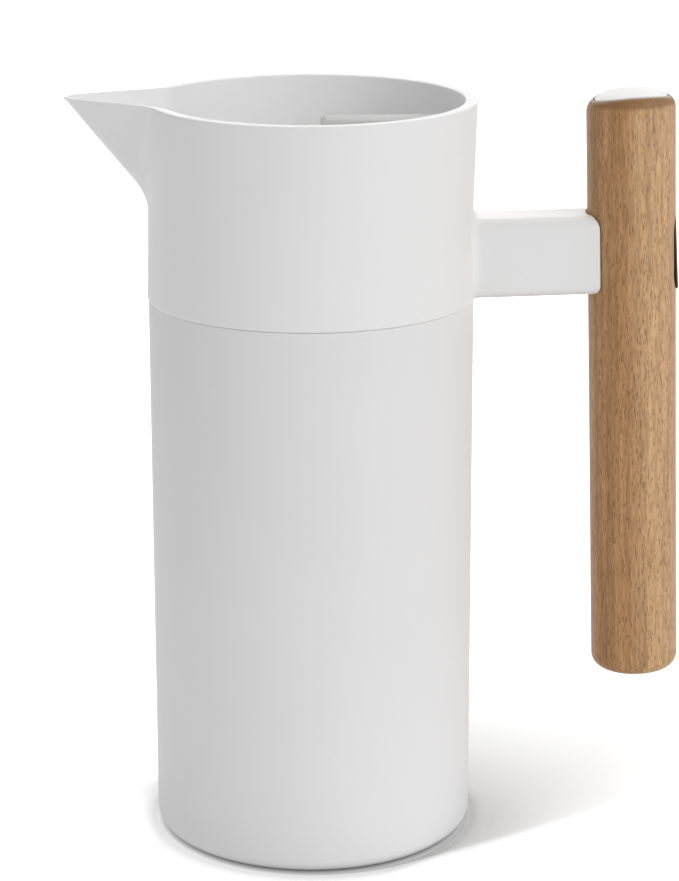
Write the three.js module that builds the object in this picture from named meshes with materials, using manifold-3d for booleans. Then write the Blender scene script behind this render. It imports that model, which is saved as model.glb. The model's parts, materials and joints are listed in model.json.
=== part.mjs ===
// Thermal coffee carafe: a vacuum flask with a spouted collar, a wooden handle on one arm, and a
// stopper whose valve is lifted by a thumb button through a push rod and a rocker.
// Millimetres, +Z up, origin on the table under the flask's axis, handle towards +X, spout towards -X.
import * as THREE from "three";
import { mergeVertices } from "three/addons/utils/BufferGeometryUtils.js";
import Module from "manifold-3d";

const wasm = await Module();
wasm.setup();

// Gaps between pieces
const fitGap = 0.3;
const slideGap = 0.4;

// How far a cutting form reaches past the face that it opens
const overshoot = 1;

// Number of sides of round forms
const bodySides = 40;
const collarSides = 56;
const evenSpacing = 0.4;
const ringSides = 28;
const smallSides = 14;
const roundSteps = 2;
const curveSteps = 4;

// Flask
const bodyRadius = 51.9;
const shellWall = 0.9;
const footRise = 0.5;
const baseRound = 4.4;
const baseLipWidth = 2.7;
const basePlateThickness = 1;
const basePlateInset = 0.5;
const vacuumGap = 3.8;
const flaskWall = 0.8;
const flaskBottomRound = 8;
const flaskShoulderHeight = 12;
const flaskNeckLength = 12;
const shoulderRound = 1.2;
const neckStep = 13.8;
const neckVacuumGap = 1.6;
const neckHeight = 4.2;
const neckFillet = 2;
const gasketThickness = 1;
const vacuumPlugRadius = 2.4;
const vacuumPlugHeadRadius = 4;
const vacuumPlugHeadHeight = 1.2;

// Collar
const rimHeight = 241.3;
const collarHeight = 63.3;
const waistRise = 27;
const collarFlare = 0.032;
const waistSoftness = 6;
const skirtChamfer = 1.2;
const skirtThickness = 3.3;
const floorThickness = 2;
const floorHoleGap = 1.1;
const dryHeight = 16.1;
const ledgeWidth = 1.8;
const rimWidth = 3.9;
const wellDraft = 0.6;

// Spout
const spoutOverhang = 25.5;
const spoutHalfAngle = THREE.MathUtils.degToRad(27.6);
const spoutNose = 6.3;
const spoutRise = 0.9;
const spoutRiseSpan = THREE.MathUtils.degToRad(30);
const spoutWall = 1.3;
const keelSlope = 0.85;
const spoutBlend = 4.4;

// Arm and handle, in a frame that leans with them: X along the arm, Z along the handle
const lean = THREE.MathUtils.degToRad(1.79);
const armWidth = 19.2;
const armHeight = 25.3;
const armTopRound = 4.2;
const armBottomRound = 3;
const armWall = 2.4;
const armRootFillet = 2.6;
const armRootWall = 8;
const armReach = 50.28;
const gripRadius = 14.03;
const gripAbove = 48.7;
const gripBelow = 140.4;
const gripBottomRound = 4.5;
const gripTopRoundWidth = 2.2;
const gripTopRoundHeight = 2.9;
const gripTopSlant = THREE.MathUtils.degToRad(2.4);
const gripTopCrown = 1.45;
const capThickness = 1.5;
const capProud = 0.15;
const capDome = 0.35;
const capStemRadius = 5;
const capStemLength = 9;

// Thumb button, its rod and the screws behind it
const buttonDrop = 1.2;
const buttonMargin = 1;
const buttonWidth = 10.8;
const buttonThickness = 4.2;
const buttonProud = 0.4;
const buttonSlope = THREE.MathUtils.degToRad(1.6);
const buttonTravel = 3;
const buttonBossRadius = 2.3;
const buttonBossLength = 2;
const rodRadius = 1.5;
const rodGrip = 2.4;
const tipRadius = 2.4;
const tipLength = 2.6;
const tipFloorGap = 0.365;
const bushWall = 0.8;
const screwRadius = 1.3;
const screwHeadRadius = 2.6;
const screwHeadHeight = 1.8;
const screwBossRadius = 3;
const gripScrewBite = 12;
const buttonSpringWire = 0.5;
const buttonSpringTurns = 3;

// Stopper
const dishSealThickness = 1.2;
const dishThickness = 2.2;
const flowShare = 0.3552;
const flowTubeWall = 2;
const plugDepth = 21;
const plugClearance = 1.5;
const plugWall = 2.6;
const plugShoulderDrop = 3;
const plugNeckStep = 11.6;
const plugBaseThickness = 2.2;
const plugSealHeight = 6;
const plugSealDepth = 1.2;
const plugSealOffset = 7;

// Valve
const valveX = -2.5;
const seatHeight = 1.2;
const seatWidth = 2.4;
const washerThickness = 1.8;
const washerWidth = 4.2;
const poppetThickness = 2.5;
const poppetOverlap = 0.7;
const bossDepth = 3;
const wingDepth = 11;
const wingThickness = 1.6;
const stemRadius = 1.9;
const stemEndRadius = 1.3;
const headRadius = 4.6;
const headHeight = 2.4;
const valveSpringWire = 0.6;
const valveSpringRadius = 4;
const valveSpringTurns = 3;
const cageLegs = 3;
const cageLegGap = 3.4;
const cageLegSize = 3;
const cageHubRadius = 6.4;
const cageHubHeight = 2.4;
const cageClearance = 7.9;

// Rocker and its housing
const pivotInset = 6.7;
const pivotRise = 15;
const pinRadius = 1.5;
const hubRadius = 3.4;
const legOuter = 3;
const legThickness = 3.6;
const legTail = 2.2;
const rockerWidth = 8;
const rockerHeel = 14;
const noseRise = 5.1;
const noseRadius = 3;
const forkDepth = 7;
const housingRise = 13.4;
const housingSetback = 5.8;
const housingWall = 1.8;
const housingHalfWidth = 7;
const housingSkirt = 10.8;
const housingRound = 2.4;
const chimneyDepth = 12.2;
const chimneyGap = 1;
const housingScrewGap = 2.6;
const housingScrewY = 5;
const housingBossHeight = 10;

// Heights that follow from the driving dimensions, from the table upwards
const seamHeight = rimHeight - collarHeight;
const waistHeight = seamHeight + waistRise;
const basePlateBottom = footRise + shellWall + fitGap;
const basePlateTop = basePlateBottom + basePlateThickness;
const flaskBottom = basePlateTop + vacuumGap;
const shellNeckTop = seamHeight + neckHeight;
const lipBottom = shellNeckTop + fitGap;
const lipTop = lipBottom + flaskWall;
const gasketBottom = lipTop + fitGap;
const floorBottom = gasketBottom + gasketThickness + fitGap;
const floorTop = floorBottom + floorThickness;
const ledgeTop = floorTop + dryHeight;
const dishSealBottom = ledgeTop + fitGap;
const dishBottom = dishSealBottom + dishSealThickness + fitGap;
const dishTop = dishBottom + dishThickness;
const collarBottom = seamHeight + fitGap;
const pivotHeight = dishTop + pivotRise;
const housingTop = pivotHeight + housingRise;

// Radii that follow from the driving dimensions
const waistRadius = bodyRadius - fitGap;
const spoutReach = bodyRadius + spoutOverhang;
const mouthRadius = bodyRadius - neckStep;
const shellInner = bodyRadius - shellWall;
const flaskOuter = shellInner - vacuumGap;
const flaskInner = flaskOuter - flaskWall;
const flaskNeckOuter = mouthRadius + flaskWall;
const shellNeckInner = flaskNeckOuter + neckVacuumGap;
const shellNeckOuter = shellNeckInner + shellWall;
const skirtBore = bodyRadius - skirtThickness + fitGap;
const wellRadius = waistRadius - rimWidth + fitGap;
const lowerWellRadius = wellRadius - ledgeWidth;
const plugRadius = mouthRadius - plugClearance;
const plugNeckRadius = plugRadius - plugNeckStep;
const flowRadius = plugRadius * flowShare;

// Places along the arm and over the stopper that follow from these
const gripDistance = bodyRadius + armReach;
const buttonLength = armHeight - buttonMargin;
const buttonSpringRadius = buttonBossRadius + fitGap + buttonSpringWire / 2;
const gripScrewSpread = buttonSpringRadius + buttonSpringWire + screwHeadRadius + fitGap;
const tipEnd = lowerWellRadius - tipLength - 2 * fitGap - fitGap;
const contactHeight = floorTop + tipRadius + tipFloorGap;
const armAxisHeight = contactHeight + buttonDrop * Math.cos(lean) - tipEnd * Math.sin(lean);
const pivotX = lowerWellRadius - pivotInset;
const chimneyEnd = lowerWellRadius - chimneyGap;
const chimneyStart = chimneyEnd - chimneyDepth;
const housingStart = valveX + housingSetback;
const housingScrewX = chimneyStart - housingScrewGap;

// Solids, joined and cut as closed meshes
function solid(geometry) {
  const bare = geometry.clone();
  bare.deleteAttribute("normal");
  bare.deleteAttribute("uv");
  const merged = mergeVertices(bare, 1e-4);
  const vertProperties = new Float32Array(merged.attributes.position.array);
  const triVerts = new Uint32Array(merged.index.array);
  return new wasm.Manifold(new wasm.Mesh({ numProp: 3, vertProperties, triVerts }));
}

function geometryOf(body) {
  const mesh = body.getMesh();
  const geometry = new THREE.BufferGeometry();
  geometry.setAttribute("position", new THREE.BufferAttribute(mesh.vertProperties, 3));
  geometry.setIndex(new THREE.BufferAttribute(mesh.triVerts, 1));
  geometry.computeVertexNormals();
  return geometry;
}

function joined(geometries) {
  return geometries.map(solid).reduce((whole, next) => whole.add(next));
}

function cut(body, geometries) {
  return geometries.map(solid).reduce((whole, next) => whole.subtract(next), body);
}

// Outline of a turned piece, as radius and height, closed on itself
function profile(start) {
  const path = new THREE.Path();
  path.moveTo(...start);
  return path;
}

function turned(path, sides) {
  const points = path.getPoints(roundSteps);
  const area = THREE.ShapeUtils.area(points);
  if (area < 0) points.reverse();
  if (points[0].distanceTo(points.at(-1)) > 1e-6) points.push(points[0].clone());
  return new THREE.LatheGeometry(points, sides).rotateX(Math.PI / 2);
}

function rod(radius, bottom, top, sides = smallSides) {
  const path = profile([0, bottom]);
  path.lineTo(radius, bottom);
  path.lineTo(radius, top);
  path.lineTo(0, top);
  return turned(path, sides);
}

function ring(inner, outer, bottom, top, sides = ringSides) {
  const path = profile([inner, bottom]);
  path.lineTo(outer, bottom);
  path.lineTo(outer, top);
  path.lineTo(inner, top);
  return turned(path, sides);
}

function block(low, high) {
  const size = high.map((value, axis) => value - low[axis]);
  const middle = high.map((value, axis) => (value + low[axis]) / 2);
  return new THREE.BoxGeometry(...size).translate(...middle);
}

// Turns a piece made along Z so that it lies along X
const zToX = new THREE.Matrix4().makeBasis(
  new THREE.Vector3(0, 1, 0),
  new THREE.Vector3(0, 0, 1),
  new THREE.Vector3(1, 0, 0),
);

function alongX(geometry, y = 0, z = 0) {
  return geometry.applyMatrix4(zToX).translate(0, y, z);
}

function extruded(shape, depth) {
  const settings = { depth, bevelEnabled: false, curveSegments: curveSteps };
  return new THREE.ExtrudeGeometry(shape, settings);
}

// A side outline in X and Z, as thick as width across Y
function across(shape, width) {
  return extruded(shape, width).rotateX(Math.PI / 2).translate(0, width / 2, 0);
}

function roundedRectangle(width, height, topRound, bottomRound) {
  const side = width / 2;
  const top = height / 2;
  const shape = new THREE.Shape();
  shape.moveTo(-side + bottomRound, -top);
  shape.lineTo(side - bottomRound, -top);
  shape.absarc(side - bottomRound, -top + bottomRound, bottomRound, -Math.PI / 2, 0);
  shape.lineTo(side, top - topRound);
  shape.absarc(side - topRound, top - topRound, topRound, 0, Math.PI / 2);
  shape.lineTo(-side + topRound, top);
  shape.absarc(-side + topRound, top - topRound, topRound, Math.PI / 2, Math.PI);
  shape.lineTo(-side, -top + bottomRound);
  shape.absarc(-side + bottomRound, -top + bottomRound, bottomRound, Math.PI, Math.PI * 1.5);
  return shape;
}

// A closed skin through rings of points that each go round a centre
function loft(rings) {
  const count = rings[0].length;
  const middles = [rings[0], rings.at(-1)].map((points) =>
    points.reduce((sum, point) => sum.add(point), new THREE.Vector3()).divideScalar(count),
  );
  const positions = [...rings.flat(), ...middles].flatMap((point) => point.toArray());
  const bottomMiddle = rings.length * count;
  const topMiddle = bottomMiddle + 1;
  const topStart = bottomMiddle - count;
  const index = [];
  for (let side = 0; side < count; side += 1) {
    const next = (side + 1) % count;
    for (let level = 0; level < rings.length - 1; level += 1) {
      const low = level * count;
      const high = low + count;
      index.push(low + side, low + next, high + next);
      index.push(low + side, high + next, high + side);
    }
    index.push(bottomMiddle, next, side);
    index.push(topMiddle, topStart + side, topStart + next);
  }
  const geometry = new THREE.BufferGeometry();
  geometry.setAttribute("position", new THREE.Float32BufferAttribute(positions, 3));
  return geometry.setIndex(index);
}

// Coil spring along Z: one tube on a helix, and the least gap between its turns
class Helix extends THREE.Curve {
  constructor(radius, bottom, top, turns) {
    super();
    Object.assign(this, { radius, bottom, top, turns });
  }
  getPoint(t, target = new THREE.Vector3()) {
    const angle = t * this.turns * 2 * Math.PI;
    const height = THREE.MathUtils.lerp(this.bottom, this.top, t);
    return target.set(this.radius * Math.cos(angle), this.radius * Math.sin(angle), height);
  }
}

const curlSteps = 8;
const wireSides = 5;

function spring(label, radius, wire, bottom, top, turns) {
  const helix = new Helix(radius, bottom + wire / 2, top - wire / 2, turns);
  const points = helix.getPoints(curlSteps * turns);
  let least = Infinity;
  for (let from = 0; from < points.length; from += 1)
    for (let to = from + curlSteps - 1; to < points.length; to += 1)
      least = Math.min(least, points[from].distanceTo(points[to]) - wire);
  console.log(label + " least gap between turns " + least.toFixed(2) + " mm");
  const section = new THREE.Shape(new THREE.EllipseCurve(0, 0, wire / 2, wire / 2).getPoints(wireSides));
  return new THREE.ExtrudeGeometry(section, { steps: curlSteps * turns, extrudePath: helix });
}

// Materials
function finish(color, roughness, metalness = 0) {
  return new THREE.MeshStandardMaterial({ color, roughness, metalness });
}
const whiteCoat = () => finish(0xeeeded, 0.45);
const whitePlastic = () => finish(0xeeeded, 0.5);
const palePlastic = () => finish(0xd3d2d0, 0.5);
const beech = () => finish(0xb98f66, 0.6);
const blackPlastic = () => finish(0x0c0b0b, 0.4);
const steel = () => finish(0xb9bbbd, 0.3, 1);
const silicone = () => finish(0x8f9294, 0.7);
const darkSilicone = () => finish(0x3a3a3c, 0.8);
const foam = () => finish(0xe6dfc8, 0.9);

const carafe = new THREE.Group();
const leaning = new THREE.Group();
leaning.position.z = armAxisHeight;
leaning.rotation.y = -lean;
carafe.add(leaning);
const leaningMatrix = new THREE.Matrix4().makeRotationY(-lean).setPosition(0, 0, armAxisHeight);

function add(name, shape, material, group = carafe) {
  const geometry = shape.isBufferGeometry ? shape : geometryOf(shape);
  const mesh = new THREE.Mesh(geometry, material);
  mesh.name = name;
  group.add(mesh);
}

// Outer shell: straight wall, rolled lower edge, flat shoulder and short neck
function outerShell() {
  const wallBottom = footRise + baseRound;
  const roundX = bodyRadius - baseRound;
  const lipX = roundX - baseLipWidth;
  const innerRound = baseRound - shellWall;
  const shoulderX = bodyRadius - shoulderRound;
  const innerShoulder = shoulderRound / 2;
  const filletX = shellNeckOuter + neckFillet;
  const shoulderInner = seamHeight - shellWall;
  const innerChamfer = neckFillet - shellWall / 2;
  const path = profile([lipX, footRise]);
  path.lineTo(roundX, footRise);
  path.absarc(roundX, wallBottom, baseRound, -Math.PI / 2, 0);
  path.lineTo(bodyRadius, seamHeight - shoulderRound);
  path.absarc(shoulderX, seamHeight - shoulderRound, shoulderRound, 0, Math.PI / 2);
  path.lineTo(filletX, seamHeight);
  path.lineTo(shellNeckOuter, seamHeight + neckFillet);
  path.lineTo(shellNeckOuter, shellNeckTop);
  path.lineTo(shellNeckInner, shellNeckTop);
  path.lineTo(shellNeckInner, seamHeight + innerChamfer);
  path.lineTo(filletX - innerChamfer, shoulderInner);
  path.lineTo(shellInner - innerShoulder, shoulderInner);
  path.lineTo(shellInner, shoulderInner - innerShoulder);
  path.lineTo(shellInner, wallBottom);
  path.absarc(roundX, wallBottom, innerRound, 0, -Math.PI / 2, true);
  path.lineTo(lipX, footRise + shellWall);
  return turned(path, bodySides);
}

// Inner flask: liner with a drawn-in shoulder, a neck and a lip over the shell's neck
function innerFlask() {
  const floor = flaskBottom + flaskWall;
  const neckStart = lipTop - flaskNeckLength;
  const shoulderStart = neckStart - flaskShoulderHeight;
  const shoulderMiddle = (neckStart + shoulderStart) / 2;
  const path = profile([0, flaskBottom]);
  const bendX = flaskOuter - flaskBottomRound;
  const innerBend = flaskBottomRound - flaskWall;
  path.lineTo(bendX, flaskBottom);
  path.absarc(bendX, flaskBottom + flaskBottomRound, flaskBottomRound, -Math.PI / 2, 0);
  path.lineTo(flaskOuter, shoulderStart);
  path.bezierCurveTo(flaskOuter, shoulderMiddle, flaskNeckOuter, shoulderMiddle, flaskNeckOuter, neckStart);
  path.lineTo(flaskNeckOuter, lipBottom);
  path.lineTo(shellNeckOuter, lipBottom);
  path.lineTo(shellNeckOuter, lipTop);
  path.lineTo(mouthRadius, lipTop);
  path.lineTo(mouthRadius, neckStart);
  path.bezierCurveTo(mouthRadius, shoulderMiddle, flaskInner, shoulderMiddle, flaskInner, shoulderStart);
  path.lineTo(flaskInner, floor + innerBend);
  path.absarc(bendX, floor + innerBend, innerBend, 0, -Math.PI / 2, true);
  path.lineTo(0, floor);
  return turned(path, ringSides);
}

const padRadius = bodyRadius - baseRound - baseLipWidth - slideGap;
const basePlateRadius = bodyRadius - baseRound + basePlateThickness;
const plugHole = ring(vacuumPlugRadius + fitGap, basePlateRadius, basePlateBottom, basePlateTop);

// Plug of the evacuation hole, headed on the vacuum side
function vacuumPlug() {
  const headBottom = basePlateTop + fitGap;
  const path = profile([0, basePlateBottom]);
  path.lineTo(vacuumPlugRadius, basePlateBottom);
  path.lineTo(vacuumPlugRadius, headBottom);
  path.lineTo(vacuumPlugHeadRadius, headBottom);
  path.lineTo(vacuumPlugHeadRadius, headBottom + vacuumPlugHeadHeight);
  path.lineTo(0, headBottom + vacuumPlugHeadHeight);
  return turned(path, smallSides);
}

// Ring between the flask's neck and the collar's skirt, relieved over the shell's fillet
function neckRing() {
  const inner = shellNeckOuter + fitGap;
  const outer = skirtBore - fitGap;
  const relief = neckFillet + fitGap;
  const top = floorBottom - fitGap;
  const path = profile([inner + relief, collarBottom]);
  path.lineTo(outer, collarBottom);
  path.lineTo(outer, top);
  path.lineTo(inner, top);
  path.lineTo(inner, collarBottom + relief);
  return turned(path, ringSides);
}

add("outer_shell", outerShell(), whiteCoat());
add("inner_flask", innerFlask(), steel());
add("base_plate", plugHole, steel());
add("vacuum_plug", vacuumPlug(), steel());
add("foot_pad", rod(padRadius, 0, basePlateBottom - fitGap, ringSides), darkSilicone());
add("neck_ring", neckRing(), palePlastic());
const gasketTop = gasketBottom + gasketThickness;
add("neck_gasket", ring(mouthRadius + fitGap, shellNeckOuter, gasketBottom, gasketTop), silicone());

// Collar outline: a waisted round with a round-nosed beak that grows upwards from the keel
function collarRadius(height) {
  const away = Math.hypot(height - waistHeight, waistSoftness) - waistSoftness;
  return waistRadius + collarFlare * away;
}

function smoothMax(a, b, blend) {
  const near = Math.max(blend - Math.abs(a - b), 0);
  return Math.max(a, b) + (near * near) / (4 * blend);
}

function beakRadius(angle, height, inset) {
  const centre = spoutReach - (rimHeight - height) * keelSlope - spoutNose;
  const nose = spoutNose - inset;
  const away = Math.abs(angle);
  const bend = Math.atan2(nose * Math.cos(spoutHalfAngle), centre + nose * Math.sin(spoutHalfAngle));
  if (away < bend) return centre * Math.cos(away) + Math.sqrt(nose ** 2 - (centre * Math.sin(away)) ** 2);
  const turn = Math.min(away, Math.PI / 2 - spoutHalfAngle);
  return (centre * Math.sin(spoutHalfAngle) + nose) / Math.sin(spoutHalfAngle + turn);
}

// The rim rises gently towards the tip of the spout
const keelBottom = rimHeight - (spoutReach - waistRadius) / keelSlope;

function rimRise(angle, height) {
  const share = Math.max((height - keelBottom) / (rimHeight - keelBottom), 0);
  return spoutRise * Math.exp(-((angle / spoutRiseSpan) ** 2)) * share ** 2;
}

// Ring of points that lie closer together round the nose
function spoutedRing(radius, height, inset) {
  const points = [];
  for (let side = 0; side < collarSides; side += 1) {
    const share = (2 * side) / collarSides - 1;
    const angle = Math.PI * THREE.MathUtils.lerp(share ** 3, share, evenSpacing);
    const reach = smoothMax(radius, beakRadius(angle, height, inset), spoutBlend);
    const z = height + rimRise(angle, height);
    points.push(new THREE.Vector3(-reach * Math.cos(angle), -reach * Math.sin(angle), z));
  }
  return points;
}

// Heights at which the collar's rings lie: closer where the keel curves into the wall
function collarHeights(bottom) {
  const bend = spoutBlend / keelSlope;
  const heights = [bottom];
  for (let step = -2; step <= 2; step += 1) heights.push(keelBottom + (step / 2) * bend);
  const straight = keelBottom + bend;
  for (let step = 1; step <= 3; step += 1)
    heights.push(THREE.MathUtils.lerp(straight, rimHeight, step / 3));
  return heights;
}

function collarSkin() {
  const skirtTop = collarBottom + skirtChamfer;
  const edge = spoutedRing(bodyRadius - fitGap, collarBottom, 0);
  const rings = collarHeights(skirtTop).map((height) => spoutedRing(collarRadius(height), height, 0));
  return loft([edge, ...rings]);
}

// Hollow of the mouth above the ledge, with the spout's channel
function mouthHollow() {
  const heights = collarHeights(ledgeTop);
  const radiusAt = (height) => {
    const share = (height - ledgeTop) / (rimHeight - ledgeTop);
    return wellRadius + wellDraft * share;
  };
  const rings = heights.map((height) => spoutedRing(radiusAt(height), height, spoutWall));
  const lifted = spoutedRing(radiusAt(rimHeight), rimHeight, spoutWall);
  lifted.forEach((point) => point.setZ(point.z + overshoot));
  return loft([...rings, lifted]);
}

// Arm with a flared root, as rings of one rounded rectangle, reaching into the collar's wall
const armStart = lowerWellRadius + ledgeWidth / 2;
const armEnd = gripDistance;
const pocketStart = lowerWellRadius + armRootWall;

function armSection(x, grow) {
  const shape = roundedRectangle(
    armWidth + 2 * grow,
    armHeight + 2 * grow,
    armTopRound + grow,
    armBottomRound + grow,
  );
  return shape.getPoints(roundSteps).map((point) => new THREE.Vector3(x, point.x, point.y));
}

function armBar() {
  const rings = [armSection(armStart, armRootFillet)];
  const rootX = waistRadius;
  for (let step = 0; step <= curveSteps; step += 1) {
    const turn = (step / curveSteps) * (Math.PI / 2);
    const x = rootX + armRootFillet * Math.sin(turn);
    rings.push(armSection(x, armRootFillet * (1 - Math.sin(turn)) * (1 - Math.sin(turn))));
  }
  rings.push(armSection(armEnd, 0));
  const isNew = (point, i, points) => i === 0 || point.distanceTo(points[i - 1]) > 1e-6;
  return loft(rings.map((points) => points.filter(isNew)));
}

// Hollow of the arm round its two screw bosses
const rodZ = -buttonDrop;
const screwHeights = [rodZ + gripScrewSpread, rodZ - gripScrewSpread];

function armHollow() {
  const inner = roundedRectangle(
    armWidth - 2 * armWall,
    armHeight - 2 * armWall,
    armTopRound - armWall,
    armBottomRound - armWall / 2,
  );
  const length = gripDistance - pocketStart;
  const hollow = alongX(extruded(inner, length).translate(0, 0, pocketStart));
  const ribTop = armHeight / 2;
  const bosses = screwHeights.flatMap((z) => {
    const boss = alongX(rod(screwBossRadius, pocketStart, gripDistance), 0, z);
    const rib = block(
      [pocketStart, -screwRadius, Math.min(z, Math.sign(z) * ribTop)],
      [gripDistance, screwRadius, Math.max(z, Math.sign(z) * ribTop)],
    );
    return [boss, rib];
  });
  return cut(solid(hollow), bosses);
}

const gripFace = gripDistance - gripRadius;
const pilotDepth = gripFace - gripScrewBite - fitGap;
const bushRadius = rodRadius + fitGap + bushWall;

function collar() {
  const saddle = rod(gripRadius + fitGap, -gripBelow, gripAbove + gripRadius, bodySides);
  const pilots = screwHeights.map((z) =>
    alongX(rod(screwRadius + fitGap, pilotDepth, gripDistance), 0, z),
  );
  const bushHole = alongX(rod(bushRadius + fitGap, lowerWellRadius / 2, pocketStart + overshoot), 0, rodZ);
  let arm = cut(solid(armBar()), [saddle.translate(gripDistance, 0, 0)]).subtract(armHollow());
  arm = cut(arm, pilots).transform(leaningMatrix.elements);
  const bush = solid(bushHole.applyMatrix4(leaningMatrix));
  const seam = rod(bodyRadius + 2 * armRootFillet, 0, collarBottom, bodySides);
  const skirtHollow = rod(skirtBore, 0, floorBottom, bodySides);
  const mouth = rod(mouthRadius + floorHoleGap, 0, rimHeight, bodySides);
  const lowerWell = rod(lowerWellRadius, floorTop, rimHeight, bodySides);
  const whole = solid(collarSkin()).add(arm);
  return cut(whole, [seam, skirtHollow, mouth, lowerWell, mouthHollow()]).subtract(bush);
}

add("collar", collar(), whitePlastic());

// Wooden handle: turned bar with a soft lower edge and a top end that slants and is crowned along X
const slantRise = Math.tan(gripTopSlant);
const capRadius = gripRadius - gripTopRoundWidth - fitGap;

function slanted(geometry, from = -Infinity) {
  const position = geometry.attributes.position;
  for (let i = 0; i < position.count; i += 1) {
    const x = position.getX(i);
    const z = position.getZ(i);
    const crown = gripTopCrown * (1 - (x / capRadius) ** 2);
    if (z >= from) position.setZ(i, z + slantRise * x + crown);
  }
  return geometry;
}

const capBottom = gripAbove + capProud - capThickness;
const pocketFloor =
  gripRadius + buttonProud - buttonThickness - buttonTravel - screwHeadHeight - 2 * fitGap;

function gripBar() {
  const topStart = gripAbove - gripTopRoundHeight;
  const flat = gripRadius - gripTopRoundWidth;
  const path = profile([0, -gripBelow]);
  path.lineTo(gripRadius - gripBottomRound, -gripBelow);
  path.absarc(gripRadius - gripBottomRound, gripBottomRound - gripBelow, gripBottomRound, -Math.PI / 2, 0);
  path.lineTo(gripRadius, topStart);
  path.absellipse(flat, topStart, gripTopRoundWidth, gripTopRoundHeight, 0, Math.PI / 2);
  path.lineTo(0, gripAbove);
  return slanted(turned(path, bodySides), topStart - 1e-3);
}

function capSocket() {
  const path = profile([0, capBottom - fitGap - capStemLength - fitGap]);
  path.lineTo(capStemRadius + fitGap, capBottom - fitGap - capStemLength - fitGap);
  path.lineTo(capStemRadius + fitGap, capBottom - fitGap);
  path.lineTo(capRadius + fitGap, capBottom - fitGap);
  path.lineTo(capRadius + fitGap, gripAbove + gripRadius);
  path.lineTo(0, gripAbove + gripRadius);
  return slanted(turned(path, ringSides));
}

function stadium(length, width) {
  const end = length / 2 - width / 2;
  const shape = new THREE.Shape();
  shape.absarc(0, end, width / 2, 0, Math.PI);
  shape.absarc(0, -end, width / 2, Math.PI, 2 * Math.PI);
  return shape;
}

function stadiumPlug(length, width, start, end) {
  const plug = extruded(stadium(length, width), end - start).translate(0, 0, start);
  return alongX(plug, 0, rodZ).translate(gripDistance, 0, 0);
}

function woodGrip() {
  const bar = gripBar().translate(gripDistance, 0, 0);
  const socket = capSocket().translate(gripDistance, 0, 0);
  const pocket = stadiumPlug(
    buttonLength + 2 * slideGap,
    buttonWidth + 2 * slideGap,
    pocketFloor,
    gripRadius + buttonThickness,
  );
  const through = gripDistance + gripRadius;
  const rodHole = alongX(rod(rodRadius + 2 * fitGap, gripFace - fitGap, through), 0, rodZ);
  const screwHoles = screwHeights.map((z) =>
    alongX(rod(screwRadius + fitGap, gripFace - fitGap, through), 0, z),
  );
  return cut(solid(bar), [socket, pocket, rodHole, ...screwHoles]);
}

// Domed disc on a stem that closes the handle's top end
function gripCap() {
  const edgeTop = gripAbove + capProud;
  const domeRadius = (capRadius * capRadius + capDome * capDome) / (2 * capDome);
  const domeTurn = Math.asin(capRadius / domeRadius);
  const path = profile([0, capBottom - capStemLength]);
  path.lineTo(capStemRadius, capBottom - capStemLength);
  path.lineTo(capStemRadius, capBottom);
  path.lineTo(capRadius, capBottom);
  path.lineTo(capRadius, edgeTop);
  path.absarc(0, edgeTop + capDome - domeRadius, domeRadius, Math.PI / 2 - domeTurn, Math.PI / 2);
  path.lineTo(0, capBottom - capStemLength);
  return slanted(turned(path, ringSides)).translate(gripDistance, 0, 0);
}

// Screw along Z with its head on top, standing at its seat
function screw(seat, length) {
  const path = profile([0, seat - length]);
  path.lineTo(screwRadius, seat - length);
  path.lineTo(screwRadius, seat);
  path.lineTo(screwHeadRadius, seat);
  path.lineTo(screwHeadRadius, seat + screwHeadHeight / 2);
  path.quadraticCurveTo(screwHeadRadius, seat + screwHeadHeight, 0, seat + screwHeadHeight);
  return turned(path, smallSides);
}

// Thumb button: oval plunger whose face follows the handle and stands proud towards its lower end
const buttonInner = gripRadius + buttonProud - buttonThickness;

function thumbButton() {
  const reach = gripRadius + buttonThickness;
  const plunger = stadiumPlug(buttonLength, buttonWidth, buttonInner, reach);
  const face = rod(gripRadius + buttonProud, -buttonLength, buttonLength, bodySides);
  face.rotateY(-buttonSlope).translate(gripDistance, 0, rodZ);
  const bossStart = gripDistance + buttonInner - buttonBossLength;
  const bossEnd = gripDistance + buttonInner + overshoot;
  const boss = alongX(rod(buttonBossRadius, bossStart, bossEnd), 0, rodZ);
  const socketEnd = rodEnd + fitGap;
  const socket = alongX(rod(rodRadius + fitGap, bossStart - overshoot, socketEnd), 0, rodZ);
  return cut(solid(plunger).intersect(solid(face)).add(solid(boss)), [socket]);
}

const tipBack = tipEnd + tipLength;
const tipSocket = tipEnd + tipLength / 2;
const rodEnd = gripDistance + buttonInner + rodGrip / 2;

// Domed tip pressed on the rod's inner end
function rodTip() {
  const domeStart = tipEnd + tipRadius / 4;
  const path = profile([0, tipEnd]);
  path.quadraticCurveTo(tipRadius, tipEnd, tipRadius, domeStart);
  path.lineTo(tipRadius, tipBack);
  path.lineTo(rodRadius + fitGap, tipBack);
  path.lineTo(rodRadius + fitGap, tipSocket);
  path.lineTo(0, tipSocket);
  return alongX(turned(path, smallSides), 0, rodZ);
}

const bushStart = tipBack + fitGap;
const bush = ring(rodRadius + fitGap, bushRadius, bushStart, pocketStart - fitGap, smallSides);
const springSeat = gripDistance + pocketFloor + fitGap;
const springTop = gripDistance + buttonInner - fitGap;
const buttonCoil = spring(
  "button spring",
  buttonSpringRadius,
  buttonSpringWire,
  springSeat,
  springTop,
  buttonSpringTurns,
);
const gripScrewLength = pocketFloor + gripRadius + gripScrewBite;

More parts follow.
